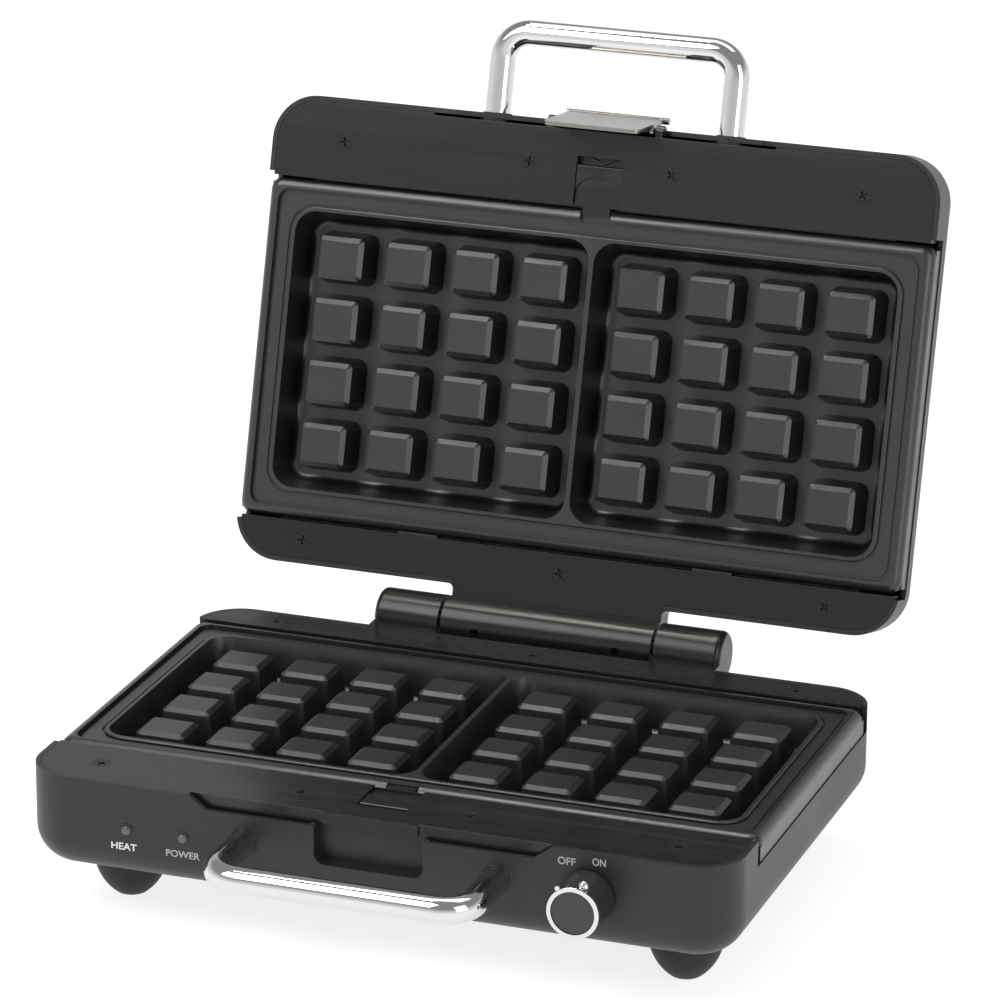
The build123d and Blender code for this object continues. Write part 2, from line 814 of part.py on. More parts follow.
def cooking_plate():
    """A waffle plate with a rolled rim, side skirts, two wells and their cells."""
    top_x, top_y = well_top_size()
    well_x = well_middle()
    slab = extrude(RectangleRounded(2 * plate_half_width, 2 * plate_half_depth, plate_corner),
                   -plate_edge_thickness)
    skirt_x = (plate_half_width - skirt_thickness, plate_half_width)
    skirt_z = (-window_depth + seat_gap, -rim_round - seat_gap)
    slab = fillet(slab.edges().group_by(Axis.Z)[-1], rim_round)
    plate = slab + both_sides(block(skirt_x, (-skirt_half, skirt_half), skirt_z))
    inner_rim = RectangleRounded(2 * rim_inner_x, 2 * rim_inner_y, plate_corner)
    plate -= extrude(Pos(0, 0, overrun) * inner_rim, -border_drop - overrun)
    lip_x = 2 * (divider_top / 2 + top_x + lip_width)
    lip_y = top_y + 2 * lip_width
    lip = RectangleRounded(lip_x, lip_y, well_corner + lip_width)
    rim_groove = RectangleRounded(2 * (rim_inner_x - rim_groove_width),
                                  2 * (rim_inner_y - rim_groove_width), plate_corner)
    lip_groove = RectangleRounded(lip_x + 2 * lip_groove_width, lip_y + 2 * lip_groove_width,
                                  well_corner + lip_width + lip_groove_width)
    border = -border_drop
    plate -= ring(inner_rim, rim_groove, border, border - groove_drop)
    plate -= ring(lip_groove, lip, border, border - groove_drop)
    tub = RectangleRounded(lip_x - 2 * lip_width + 2 * tub_wall, top_y + 2 * tub_wall,
                           well_corner + tub_wall)
    plate += extrude(Pos(0, 0, -plate_edge_thickness) * tub, tub_bottom + plate_edge_thickness)
    ridge = extrude(Pos(0, 0, border - groove_drop) * lip, border_drop + groove_drop - lip_drop)
    plate += fillet(ridge.edges().group_by(Axis.Z)[-1], lip_round)
    well = well_form()
    plate -= Pos(-well_x, 0) * well + Pos(well_x, 0) * well
    plate -= heater_tube(heater_radius + heater_groove_gap)
    tongue = block((tongue_x - tongue_width / 2, tongue_x + tongue_width / 2),
                   (-plate_half_depth - tongue_length, -rim_inner_y),
                   (-tongue_drop - tongue_thickness, -tongue_drop))
    plate += both_sides(tongue)
    notch_x = (-nose_notch_half, nose_notch_half)
    notch_y = (rim_inner_y - overrun, plate_half_depth + overrun)
    plate -= block(notch_x, notch_y, (-nose_notch_depth, overrun))
    cell = waffle_cell()
    return plate + [Pos(x, y) * cell for x, y in cell_places()]


def cell_places():
    """The middle of every cell in plan."""
    places = []
    for side in (-1, 1):
        for column in range(cell_count_x):
            x = side * well_middle() + (column - (cell_count_x - 1) / 2) * cell_pitch_x
            for row in range(cell_count_y):
                places.append((x, (row - (cell_count_y - 1) / 2) * cell_pitch_y))
    return places


def well_middle():
    """How far the middle of a waffle's space is from the plate's middle."""
    return (divider_top + well_top_size()[0]) / 2


def heater_tube(radius):
    """The heater's bent tube, or with a larger radius the groove for it."""
    points = (
        (-heater_tail_x, heater_tail_y, heater_z),
        (-heater_tail_x, -heater_reach_y, heater_z),
        (-heater_reach_x, -heater_reach_y, heater_z),
        (-heater_reach_x, heater_reach_y, heater_z),
        (heater_reach_x, heater_reach_y, heater_z),
        (heater_reach_x, -heater_reach_y, heater_z),
        (heater_tail_x, -heater_reach_y, heater_z),
        (heater_tail_x, heater_tail_y, heater_z),
    )
    tail_bend = heater_tail_x / 2
    radii = [tail_bend] + [heater_bend] * (len(points) - 4) + [tail_bend]
    path = FilletPolyline(*points, radius=radii)
    return sweep(Plane(origin=points[0], z_dir=(0, 1, 0)) * Circle(radius), path=path)


def heater():
    """The heater: a sheathed tube with a connecting pin at each end."""
    shape = heater_tube(heater_radius)
    pin_start = (heater_tail_x, heater_tail_y, heater_z)
    pin_end = (heater_tail_x, heater_tail_y - heater_pin_length, heater_z)
    return shape + both_sides(rod(heater_pin_radius, pin_start, pin_end))


def reflector_tray(has_thermostat):
    """The thin tray under the heater, with a low rim and its screw holes."""
    outer = RectangleRounded(2 * tray_half_x, 2 * tray_half_y, tray_corner)
    inner = RectangleRounded(2 * (tray_half_x - tray_thickness),
                             2 * (tray_half_y - tray_thickness), tray_corner - tray_thickness)
    foot = tray_top - tray_thickness
    tray = extrude(Pos(0, 0, foot) * outer, tray_thickness + tray_rim)
    tray -= extrude(Pos(0, 0, tray_top) * inner, tray_rim + overrun)
    for x in (-tray_post_x, tray_post_x):
        for y in (-tray_post_y, tray_post_y):
            tray -= rod(screw_hole_radius, (x, y, foot - overrun), (x, y, tray_top + overrun))
    notch_x = (heater_tail_x - heater_radius - seat_gap, heater_tail_x + heater_radius + seat_gap)
    notch_y = (-tray_half_y - overrun, -tray_half_y + tray_thickness + overrun)
    tray -= both_sides(block(notch_x, notch_y, (tray_top, tray_top + tray_rim + overrun)))
    if has_thermostat:
        x, y = thermostat_place
        hole = thermostat_radius + seat_gap
        tray -= rod(hole, (x, y, foot - overrun), (x, y, tray_top + overrun))
    return tray


def tray_screws():
    """The four pan-head screws that hold a reflector tray."""
    screws = []
    for x in (-tray_post_x, tray_post_x):
        for y in (-tray_post_y, tray_post_y):
            screw = rod(tray_screw_head_radius, (x, y, tray_top),
                        (x, y, tray_top + tray_screw_head_height))
            screw += rod(screw_radius, (x, y, tray_top - tray_screw_length + seat_gap),
                         (x, y, tray_top))
            screws.append(screw)
    return screws


def heater_cradles():
    """Saddles on the tray that carry the heater."""
    groove = heater_radius + pin_fit
    cradles = []
    for x, side in cradle_places:
        y = side * heater_reach_y
        saddle = block((x - cradle_length / 2, x + cradle_length / 2),
                       (y - cradle_width / 2, y + cradle_width / 2),
                       (tray_top, tray_top + cradle_height))
        seat = rod(groove, (x - cradle_length, y, heater_z), (x + cradle_length, y, heater_z))
        cradles.append(saddle - seat)
    return cradles


def thermostat():
    """The disc thermostat, with its cap against the plate and two terminals below."""
    x, y = thermostat_place
    top = tub_bottom - seat_gap
    foot = top - thermostat_body
    shape = rod(thermostat_radius, (x, y, foot), (x, y, top))
    flange = tray_top + thermostat_flange_thickness
    shape += rod(thermostat_flange_radius, (x, y, tray_top), (x, y, flange))
    for side in (-1, 1):
        tab_x = x + side * thermostat_radius / 2
        shape += block((tab_x - terminal_thickness / 2, tab_x + terminal_thickness / 2),
                       (y - terminal_width / 2, y + terminal_width / 2),
                       (foot - switch_terminal_length / 2, foot))
    return shape


def thermal_fuse():
    """A thermal fuse with its two leads, lying on the tray."""
    x, y = fuse_place
    z = tray_top + fuse_clip_wall + fuse_radius
    half = fuse_length / 2
    shape = rod(fuse_radius, (x - half, y, z), (x + half, y, z))
    lead = half + fuse_lead_length
    return shape + rod(fuse_lead_radius, (x - lead, y, z), (x + lead, y, z))


def fuse_clip():
    """The strap that holds a thermal fuse down on the tray."""
    x, y = fuse_place
    outer_radius = fuse_radius + pin_fit + fuse_clip_wall
    z = tray_top + fuse_clip_wall + fuse_radius
    half = fuse_clip_width / 2
    strap = rod(outer_radius, (x - half, y, z), (x + half, y, z))
    foot_y = (y - 2 * outer_radius, y + 2 * outer_radius)
    strap += block((x - half, x + half), foot_y, (tray_top, tray_top + fuse_clip_wall))
    strap &= block((x - half, x + half), foot_y, (tray_top, z + outer_radius))
    return strap - rod(fuse_radius + pin_fit, (x - fuse_length, y, z), (x + fuse_length, y, z))


def release_tab():
    """The sliding tab that frees a plate, with its nose over the plate's rim."""
    start = rail_edge + slide_gap
    half = tab_opening_half - slide_gap
    top = -tab_drop
    foot = -tab_opening_depth + slide_gap
    tab = block((-half, half), (start, start + tab_length), (foot, top))
    front_edges = tab.edges().group_by(Axis.Z)[-1].group_by(Axis.Y)[-1]
    tab = fillet(front_edges, tab_drop)
    rib = half + tab_rib
    tab += block((-rib, rib), (start, start + tab_length), (foot, foot + tab_rib_height))
    nose_y = (rail_edge - tab_nose_reach, start + overrun)
    tab += block((-tab_nose_half, tab_nose_half), nose_y, (top - tab_nose_thickness, top))
    hollow_y = start + tab_thumb_depth
    hollow = rod(tab_thumb_radius, (0, hollow_y, top - tab_thumb_depth), (0, hollow_y, overrun))
    ridge_y = (start + tab_thumb_depth, start + tab_length)
    return tab - (hollow & block((-half, half), ridge_y, (-overrun - tab_opening_depth, overrun)))


def release_spring():
    """A bent leaf that pushes the release tab towards the plate."""
    near = rail_edge + slide_gap + tab_length
    far = tab_opening_front
    low = -tab_opening_depth + slide_gap
    half = tab_spring_half
    bend = tab_spring_thickness
    outer = ((-half, far), (0, near + bend), (half, far))
    inner = ((half - 2 * bend, far), (0, near + 3 * bend), (-half + 2 * bend, far))
    strip = Polygon(*outer, *inner, align=None)
    return extrude(Pos(0, 0, low) * strip, tab_spring_height)


def handle(spread, drop):
    """A round bar handle: two legs and a grip joined by bends."""
    half = spread / 2
    reach = body_front + handle_reach
    points = ((-half, handle_root, -drop), (-half, reach, -drop),
              (half, reach, -drop), (half, handle_root, -drop))
    path = FilletPolyline(*points, radius=handle_bend)
    bar = sweep(Plane(origin=points[0], z_dir=(0, 1, 0)) * Circle(handle_radius), path=path)
    hole = rod(handle_bolt_radius + screw_fit, (half, handle_root - overrun, -drop),
               (half, handle_root + handle_bolt_length, -drop))
    return bar - both_sides(hole)


def handle_bush(spread, drop):
    """The collar between a handle leg and the shell's front wall."""
    x = spread / 2
    inner = handle_radius + pin_fit
    outer = inner + bush_wall
    front = body_front + bush_proud
    bush = rod(outer, (x, handle_root, -drop), (x, front, -drop))
    return bush - rod(inner, (x, handle_root - overrun, -drop), (x, front + overrun, -drop))


def handle_bolt(spread, drop):
    """The bolt and washer that pull a handle leg against the wall from inside."""
    x = spread / 2
    washer = handle_root - handle_washer_thickness
    bolt = rod(handle_washer_radius, (x, washer, -drop), (x, handle_root, -drop))
    head = washer - handle_bolt_head_height
    bolt += rod(handle_bolt_head_radius, (x, head, -drop), (x, washer, -drop))
    tip = handle_root + handle_bolt_length - seat_gap
    bolt += rod(handle_bolt_radius, (x, handle_root, -drop), (x, tip, -drop))
    socket = Plane(origin=(x, head, -drop), z_dir=(0, 1, 0))
    return bolt - extrude(socket * RegularPolygon(handle_bolt_radius, 6), hex_socket_depth)


def latch():
    """The rocking latch: a leaning plate with a rolled top edge, ears and two hooks."""
    tip = Vector(latch_tip_front, latch_tip_height)
    top = Vector(latch_top_front, latch_top_height)
    along = (top - tip).normalized()
    inward = Vector(along.Y, -along.X)
    points = [tip, top, top + inward * latch_thickness, tip + inward * latch_thickness]
    profile = Polygon(*[(p.X, p.Y) for p in points], align=None)
    plate = across(profile, -latch_half, latch_half)
    corners = [edge for edge in plate.edges()
               if abs(edge.length - latch_thickness) < 0.01 and edge.center().Z > 0]
    plate = fillet(corners, latch_corner)
    roll = top + inward * (latch_thickness / 2)
    plate += rod(latch_roll_radius, (-latch_roll_half, roll.X, roll.Y),
                 (latch_roll_half, roll.X, roll.Y))
    ear_face = Pos(latch_pivot_front, latch_pivot_height) * Circle(latch_ear_radius)
    ear_reach = latch_top_front - latch_pivot_front
    ear_middle = latch_pivot_front + ear_reach / 2
    ear_face += Pos(ear_middle, latch_pivot_height) * Rectangle(ear_reach, 2 * latch_ear_radius)
    ears = both_sides(across(ear_face, latch_half - latch_ear_thickness, latch_half))
    under = Polygon(*[(p.X, p.Y) for p in (tip, top)], (body_rear, top.Y), (body_rear, tip.Y),
                    align=None)
    ears &= across(under, -latch_half, latch_half)
    hook_face = block((hook_start, hook_start + hook_width), (hook_tip_front, latch_top_front),
                      (hook_height, hook_height + hook_thickness))
    hooks = both_sides(hook_face) & across(under, -latch_half, latch_half)
    return plate + ears + hooks - latch_pin(latch_pin_radius + running_fit)


def latch_spring():
    """A leaf between the lid's front wall and the latch's top."""
    lean = (latch_top_front - latch_tip_front) / (latch_tip_height - latch_top_height)
    inner_face = latch_tip_front - latch_thickness + lean * (latch_tip_height - latch_spring_head)
    foot_front = body_front + seat_gap
    points = (
        (foot_front, latch_spring_foot),
        (foot_front + latch_spring_thickness, latch_spring_foot),
        (inner_face - seat_gap, latch_spring_head),
        (inner_face - seat_gap - latch_spring_thickness, latch_spring_head),
    )
    half = latch_spring_width / 2
    return across(Polygon(*points, align=None), -half, half)


def knob_axis(near, far):
    """Start and end points on the knob's axis, measured out from the front wall."""
    return (-knob_x, body_front + near, -knob_drop), (-knob_x, body_front + far, -knob_drop)


def knob_body():
    """The knob's grip, hollow at the back for the switch nut."""
    front = knob_gap + knob_length - knob_ring_length
    body = cone(knob_skirt_radius, knob_radius, *knob_axis(knob_gap, front))
    body = fillet(body.edges().group_by(Axis.Y)[0], knob_skirt_round)
    rest = knob_radius - knob_ring_width - knob_face_fit
    body += rod(rest, *knob_axis(front, front + knob_ring_length - knob_face_sink
                                 - knob_face_thickness))
    body -= rod(knob_socket_radius, *knob_axis(0, knob_gap + knob_socket_depth))
    return body - knob_shaft_form(knob_shaft_radius + pin_fit)


def knob_shaft_form(radius):
    """The D-shaped shaft, or with a larger radius the hole for it."""
    end = knob_gap + knob_socket_depth + knob_shaft_grip
    shaft = rod(radius, *knob_axis(-shell_wall - switch_shaft_depth, end))
    flat_z = -knob_drop + radius - knob_shaft_flat
    flat_x = (-knob_x - radius, -knob_x + radius)
    flat_y = (body_front + knob_gap + knob_socket_depth, body_front + end + overrun)
    return shaft - block(flat_x, flat_y, (flat_z, flat_z + radius))


def knob_ring():
    """The bright ring round the knob's face, with its nub, and the bead behind it."""
    back = knob_gap + knob_length - knob_ring_length
    front = knob_gap + knob_length
    ring_body = rod(knob_radius + knob_ring_proud, *knob_axis(back, front))
    ring_body = fillet(ring_body.edges().group_by(Axis.Y)[-1], knob_ring_proud)
    ring_body -= rod(knob_radius - knob_ring_width, *knob_axis(back - overrun, front + overrun))
    nub_place = knob_radius + knob_ring_proud + knob_nub_rise
    nub = rod(knob_nub_radius, *knob_axis(back, front - knob_ring_proud))
    angle = 180 - knob_nub_angle
    offset = Vector(nub_place, 0, 0).rotate(Axis.Y, -angle)
    return ring_body + (Pos(offset.X, 0, offset.Z) * nub - ring_body)


def knob_bead():
    """The bright bead let into the top of the knob's grip."""
    y = body_front + knob_gap + knob_length - knob_ring_length - knob_bead_set_back
    offset = Vector(knob_radius, 0, 0).rotate(Axis.Y, -(180 - knob_bead_angle))
    centre = (-knob_x + offset.X, y, -knob_drop + offset.Z)
    return Pos(*centre) * Sphere(knob_bead_radius)


def knob_face():
    """The dark disc inside the knob's ring."""
    front = knob_gap + knob_length - knob_face_sink
    radius = knob_radius - knob_ring_width - knob_face_fit
    return rod(radius, *knob_axis(front - knob_face_thickness, front))


def rotary_switch():
    """The rotary switch behind the front wall, with its neck and terminals."""
    back = shell_inner_front - switch_depth
    x = (-knob_x - switch_width / 2, -knob_x + switch_width / 2)
    z = (-knob_drop - switch_height / 2, -knob_drop + switch_height / 2)
    body = block(x, (back, shell_inner_front), z)
    body += rod(switch_neck_radius, *knob_axis(-shell_wall, -shell_wall + switch_neck_length))
    for side in (-1, 1):
        tab_x = -knob_x + side * switch_terminal_half
        body += block((tab_x - terminal_thickness / 2, tab_x + terminal_thickness / 2),
                      (back - switch_terminal_length, back),
                      (-knob_drop - terminal_width / 2, -knob_drop + terminal_width / 2))
    bore = knob_shaft_radius + running_fit
    depth = -shell_wall - switch_shaft_depth - running_fit
    return body - rod(bore, *knob_axis(depth, switch_neck_length))


def switch_nut():
    """The hexagon nut that holds the switch to the wall, hidden by the knob."""
    start, end = knob_axis(0, switch_nut_thickness)
    plane = Plane(origin=start, z_dir=(0, 1, 0))
    nut = extrude(plane * RegularPolygon(switch_nut_radius, 6), switch_nut_thickness)
    return nut - rod(switch_neck_radius + pin_fit, start, end)


def lamp_lens(x):
    """A round domed lens with a flange behind the wall."""
    back = shell_inner_front - lens_flange_thickness
    front = back + lens_flange_thickness + lens_length
    lens = rod(lens_radius, (-x, shell_inner_front, -lamp_drop), (-x, front, -lamp_drop))
    lens = fillet(lens.edges().group_by(Axis.Y)[-1], lens_radius / 2)
    return lens + rod(lens_flange_radius, (-x, back, -lamp_drop),
                      (-x, shell_inner_front, -lamp_drop))


def lamp_bezel(x):
    """The thin ring round a lens on the front wall."""
    start = (-x, body_front, -lamp_drop)
    end = (-x, body_front + bezel_thickness, -lamp_drop)
    bezel = rod(bezel_radius, start, end)
    return bezel - rod(lens_radius + screw_fit, start, end)


def neon_lamp(x):
    """A small lamp behind a lens, standing on the lamp board."""
    board = lamp_board_front()
    start = (-x, board, -lamp_drop)
    return rod(neon_radius, start, (-x, board + neon_length, -lamp_drop))


def lamp_board():
    """The board behind the front wall that carries the lamps."""
    middle = -sum(lamp_places.values()) / len(lamp_places)
    front = lamp_board_front()
    x = (middle - lamp_board_width / 2, middle + lamp_board_width / 2)
    z = (-lamp_drop - lamp_board_height / 2, -lamp_drop + lamp_board_height / 2)
    return block(x, (front - lamp_board_thickness, front), z)


def foot(x, y):
    """A rubber foot with bulging flanks and a recess for its screw."""
    top = -base_height
    low = top - foot_height
    flank = RadiusArc((foot_top_radius, top), (foot_bottom_radius, low), foot_flank_radius)
    edges = [Line((0, low), (0, top)), Line((0, top), (foot_top_radius, top)), flank,
             Line((foot_bottom_radius, low), (0, low))]
    shape = revolve(Plane.XZ * make_face(edges), Axis.Z)
    shape = Pos(x, y) * fillet(shape.edges().group_by(Axis.Z)[0], foot_bottom_round)
    shape -= rod(foot_recess_radius, (x, y, low - overrun), (x, y, low + foot_recess_depth))
    return shape - rod(foot_screw_radius + screw_fit, (x, y, low), (x, y, top + overrun))


def foot_screw(x, y):
    """The pan-head screw that holds a foot."""
    seat = -base_height - foot_height + foot_recess_depth
    screw = rod(foot_screw_radius, (x, y, seat), (x, y, seat + foot_screw_length))
    head = rod(foot_screw_head_radius, (x, y, seat - foot_screw_head_height), (x, y, seat))
    return screw + head


def terminal_block():
    """The block where the cord's wires join the inner wires."""
    x, y = block_place
    floor = -base_height + shell_wall
    shape = block((x - block_length / 2, x + block_length / 2),
                  (y - block_width / 2, y + block_width / 2), (floor, floor + block_height))
    for step in (-1, 0, 1):
        hole_x = x + step * block_screw_pitch
        top = floor + block_height
        shape -= rod(block_screw_radius, (hole_x, y, top - block_screw_depth), (hole_x, y, top))
    return shape


def cord_gland():
    """The gland in the rear wall that the supply cord passes through."""
    wall = -body_rear
    inner = wall + shell_wall + gland_inside
    outer = wall - gland_flange_thickness
    shape = rod(gland_radius, (-gland_x, wall, -gland_drop), (-gland_x, inner, -gland_drop))
    flange = rod(gland_flange_radius, (-gland_x, outer, -gland_drop), (-gland_x, wall, -gland_drop))
    flange = fillet(flange.edges().group_by(Axis.Y)[0], gland_flange_thickness / 2)
    bore_start = (-gland_x, outer - overrun, -gland_drop)
    return shape + flange - rod(gland_bore, bore_start, (-gland_x, inner + overrun, -gland_drop))


def gland_nut():
    """The nut inside the rear wall that holds the gland."""
    seat = -body_rear + shell_wall
    plane = Plane(origin=(-gland_x, seat, -gland_drop), z_dir=(0, 1, 0))
    nut = extrude(plane * RegularPolygon(gland_nut_radius, 6), gland_nut_thickness)
    end = (-gland_x, seat + gland_nut_thickness, -gland_drop)
    return nut - rod(gland_radius + pin_fit, (-gland_x, seat, -gland_drop), end)


def pair(shape):
    """Two separate solids, one on each side of the middle plane."""
    return [shape, mirror(shape, about=Plane.YZ)]


def unit_inside(plate, has_thermostat):
    """The pieces that both units hold, each with its plain name."""
    return {
        "plate": plate,
        "heater": heater(),
        "reflector_tray": reflector_tray(has_thermostat),
        "tray_screws": tray_screws(),
        "heater_cradles": heater_cradles(),
        "thermal_fuse": thermal_fuse(),
        "fuse_clip": fuse_clip(),
        "release_tab": release_tab(),
        "release_spring": release_spring(),
    }


def base_pieces(plate):
    """Every piece of the base, in the unit's own frame."""
    pieces = {"lower_" + name: shape for name, shape in unit_inside(plate, True).items()}
    pieces["base_shell"] = base_shell()
    pieces["base_front_rail"] = front_rail(base_front_screws, True)
    pieces["base_rear_rail"] = base_rear_rail()
    pieces["base_rail_screws"] = rail_screws(base_front_screws, base_rear_screws)
    pieces["lower_thermostat"] = thermostat()
    pieces["lower_handle"] = handle(lower_handle_spread, lower_handle_drop)
    pieces["lower_handle_bushes"] = pair(handle_bush(lower_handle_spread, lower_handle_drop))
    pieces["lower_handle_bolts"] = pair(handle_bolt(lower_handle_spread, lower_handle_drop))
    pieces["rotary_switch"] = rotary_switch()
    pieces["switch_nut"] = switch_nut()
    pieces["knob_shaft"] = knob_shaft_form(knob_shaft_radius)
    bead = knob_bead()
    pieces["knob_body"] = knob_body() - bead
    pieces["knob_bead"] = bead
    pieces["knob_ring"] = knob_ring()
    pieces["knob_face"] = knob_face()
    for name, x in lamp_places.items():
        pieces[name + "_lamp_lens"] = lamp_lens(x)
    pieces["lamp_bezels"] = [lamp_bezel(x) for x in lamp_places.values()]
    pieces["neon_lamps"] = [neon_lamp(x) for x in lamp_places.values()]
    pieces["lamp_board"] = lamp_board()
    names = ("foot_front_right", "foot_rear_right", "foot_front_left", "foot_rear_left")
    for name, place in zip(names, foot_places()):
        pieces[name] = foot(*place)
    pieces["foot_screws"] = [foot_screw(*place) for place in foot_places()]
    pieces["terminal_block"] = terminal_block()
    pieces["cord_gland"] = cord_gland()
    pieces["gland_nut"] = gland_nut()
    return pieces


def lid_pieces(plate):
    """Every piece of the lid, in the unit's own frame."""
    pieces = {"upper_" + name: shape for name, shape in unit_inside(plate, False).items()}
    pieces["lid_shell"] = lid_shell()
    lid_rail = front_rail(lid_front_screws, False)
    lid_rail -= bolt_relief(upper_handle_spread, upper_handle_drop)
    pieces["lid_front_rail"] = lid_rail + latch_lugs()
    pieces["lid_rear_rail"] = lid_rear_rail()
    pieces["lid_rail_screws"] = rail_screws(lid_front_screws, lid_rear_screws)
    pieces["hinge_pins"] = pair(hinge_pin())
    pieces["barrel_screws"] = [at_hinge() * screw for screw in pair(barrel_screw())]
    pieces["upper_handle"] = handle(upper_handle_spread, upper_handle_drop)
    pieces["upper_handle_bushes"] = pair(handle_bush(upper_handle_spread, upper_handle_drop))
    pieces["upper_handle_bolts"] = pair(handle_bolt(upper_handle_spread, upper_handle_drop))
    pieces["latch"] = latch()
    pieces["latch_pin"] = latch_pin(latch_pin_radius)
    pieces["latch_spring"] = latch_spring()
    return pieces


def placed(pieces, place):
    """Each piece as a list of solids in the body frame."""
    result = {}
    for name, shape in pieces.items():
        shapes = shape if isinstance(shape, list) else [shape]
        result[name] = [solid for one in shapes for solid in place(one).solids()]
    return result


def main():
    plate = cooking_plate()
    nodes = placed(base_pieces(plate), in_base) | placed(lid_pieces(plate), in_lid)
    every_solid = [solid for solids in nodes.values() for solid in solids]
    box = Compound(children=every_solid).bounding_box()
    to_origin = Pos(0, -(box.min.Y + box.max.Y) / 2, -box.min.Z)
    os.makedirs("parts", exist_ok=True)
    for name, solids in nodes.items():
        moved = [to_origin * solid for solid in solids]
        export_step(Compound(children=moved), f"parts/{name}.step")


if __name__ == "__main__":
    main()
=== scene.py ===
import json
import math

import bpy
from mathutils import Matrix, Vector


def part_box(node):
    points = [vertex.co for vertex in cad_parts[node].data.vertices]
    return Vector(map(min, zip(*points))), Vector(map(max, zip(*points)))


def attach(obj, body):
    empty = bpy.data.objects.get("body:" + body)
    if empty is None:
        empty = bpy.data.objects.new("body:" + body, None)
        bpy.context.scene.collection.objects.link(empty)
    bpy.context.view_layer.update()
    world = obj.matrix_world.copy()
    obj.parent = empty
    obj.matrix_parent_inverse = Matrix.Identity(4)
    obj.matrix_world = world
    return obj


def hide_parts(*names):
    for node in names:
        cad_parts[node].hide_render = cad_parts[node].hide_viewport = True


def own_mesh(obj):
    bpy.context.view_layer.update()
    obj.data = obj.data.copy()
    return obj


# A double waffle maker, dressed for the photograph. Lengths are in metres.

MM = 0.001

# The camera, as fitted to the photograph
SENSOR_WIDTH = 36
LENS = 199.13
FAR_CLIP = 50
CAMERA_FROM_HINGE = Vector((0.65483, -1.87984, 0.76151))
AZIMUTH = 19.793
ELEVATION = 19.547
ROLL = 0.251

# Light levels: the surround, then the floor's reflectance to the object and to the eye
WORLD_LIGHT = 0.5
FLOOR_BOUNCE = 0.8
FLOOR_SHADE = 0.35
FLOOR_GLOW = 0.82

# The ceiling seen in mirrors: the heights of direction where it starts and is full, its grey
CEILING_START = 0.12
CEILING_FULL = 0.5
CEILING_GREY = 0.33

# The floor, a hair below the feet so that it never fights with them
FLOOR_HALF = 6.0
FLOOR_DROP = 0.2 * MM

# How the CAD's sharp edges are rounded: the bevel's steps, and the angle that counts as sharp
EDGE_STEPS = 3
SHARP_ANGLE = math.radians(28.0)
WELD_DISTANCE = 0.004 * MM

# The print: how proud it stands, how bold its strokes are, and a raw letter's half depth
PRINT_THICKNESS = 0.06 * MM
PRINT_BOLDNESS = 0.02
LETTER_HALF_DEPTH = 0.5

# The part of a noise's range over which a surface goes from smooth to rough
USUAL_NOISE = (0.3, 0.7)

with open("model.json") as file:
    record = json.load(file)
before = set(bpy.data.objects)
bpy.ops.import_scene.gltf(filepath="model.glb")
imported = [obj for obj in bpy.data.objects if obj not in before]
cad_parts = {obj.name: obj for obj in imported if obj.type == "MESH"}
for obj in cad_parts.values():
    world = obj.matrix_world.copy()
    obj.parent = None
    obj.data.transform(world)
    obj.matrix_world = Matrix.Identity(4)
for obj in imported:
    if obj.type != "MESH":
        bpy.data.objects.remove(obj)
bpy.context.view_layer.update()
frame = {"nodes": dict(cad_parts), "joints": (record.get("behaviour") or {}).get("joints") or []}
nodes = frame["nodes"]
joints = {joint["name"]: joint for joint in frame["joints"]}
scene = bpy.context.scene
scene.view_settings.view_transform = "Standard"


def make_camera():
    """The photograph's camera."""
    data = bpy.data.cameras.new("camera")
    data.sensor_width = SENSOR_WIDTH
    data.lens = LENS
    data.clip_end = FAR_CLIP
    camera = bpy.data.objects.new("camera", data)
    scene.collection.objects.link(camera)
    camera.location = Vector(joints["lid_hinge"]["pos_m"]) + CAMERA_FROM_HINGE
    azimuth, elevation = math.radians(AZIMUTH), math.radians(ELEVATION)
    look = Vector((-math.sin(azimuth) * math.cos(elevation),
                   math.cos(azimuth) * math.cos(elevation), -math.sin(elevation)))
    level = look.to_track_quat("-Z", "Y").to_matrix().to_4x4()
    turn = Matrix.Rotation(math.radians(ROLL), 4, "Z")
    camera.matrix_world = Matrix.Translation(camera.location) @ level @ turn
    scene.camera = camera


def set_inputs(node, values):
    """Sets a node's inputs by name."""
    for name, value in values.items():
        node.inputs[name].default_value = value


def map_range(tree, value, values):
    """A value brought from one range to another."""
    made = tree.nodes.new("ShaderNodeMapRange")
    tree.links.new(value, made.inputs["Value"])
    set_inputs(made, values)
    return made.outputs["Result"]


def shaded(colour, share):
    """A colour darkened to a share of itself."""
    return tuple(share * part for part in colour)


